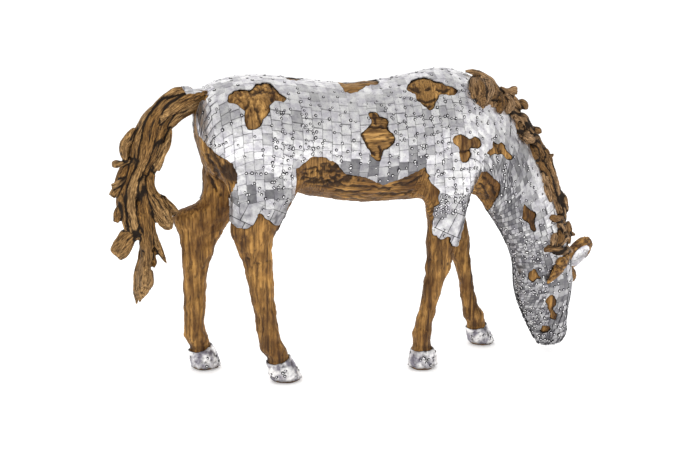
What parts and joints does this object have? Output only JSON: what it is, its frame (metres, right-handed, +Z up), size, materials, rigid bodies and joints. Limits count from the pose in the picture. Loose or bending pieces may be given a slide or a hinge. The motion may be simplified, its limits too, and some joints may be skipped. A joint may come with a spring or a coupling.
{
  "type": "grazing horse sculpture",
  "caption": "Standing, grazing horse carved in wood, clad in nailed sheet-metal squares with bare wood patches, with driftwood mane and tail; stands free on its hooves.",
  "frame": {"origin": "on the floor under the middle of the whole horse, level with the hoof soles", "axes": "+X towards the head along the horse's length, +Y towards its left side, +Z up"},
  "size_m": [2.4058, 0.4948, 1.4096],
  "materials": {
    "carved_wood": "oiled brown hardwood with rough grain and dark cracks",
    "metal_tiles": "bright hand-cut squares, lightly creased and nailed",
    "hoof_metal": "hammered sheet, nailed",
    "driftwood": "weathered, gnarled, deeply grooved"
  },
  "bodies": {
    "root": {"carved_wood_body": "carved_wood", "metal_tile_skin": "metal_tiles", "right_hind_hoof_wrap": "hoof_metal", "left_hind_hoof_wrap": "hoof_metal", "right_fore_hoof_wrap": "hoof_metal", "left_fore_hoof_wrap": "hoof_metal", "driftwood_mane": "driftwood", "driftwood_tail": "driftwood", "right_ear": "carved_wood", "left_ear": "carved_wood", "left_ear_lining": "metal_tiles", "brow_knob": "carved_wood"}
  },
  "joints": []
}
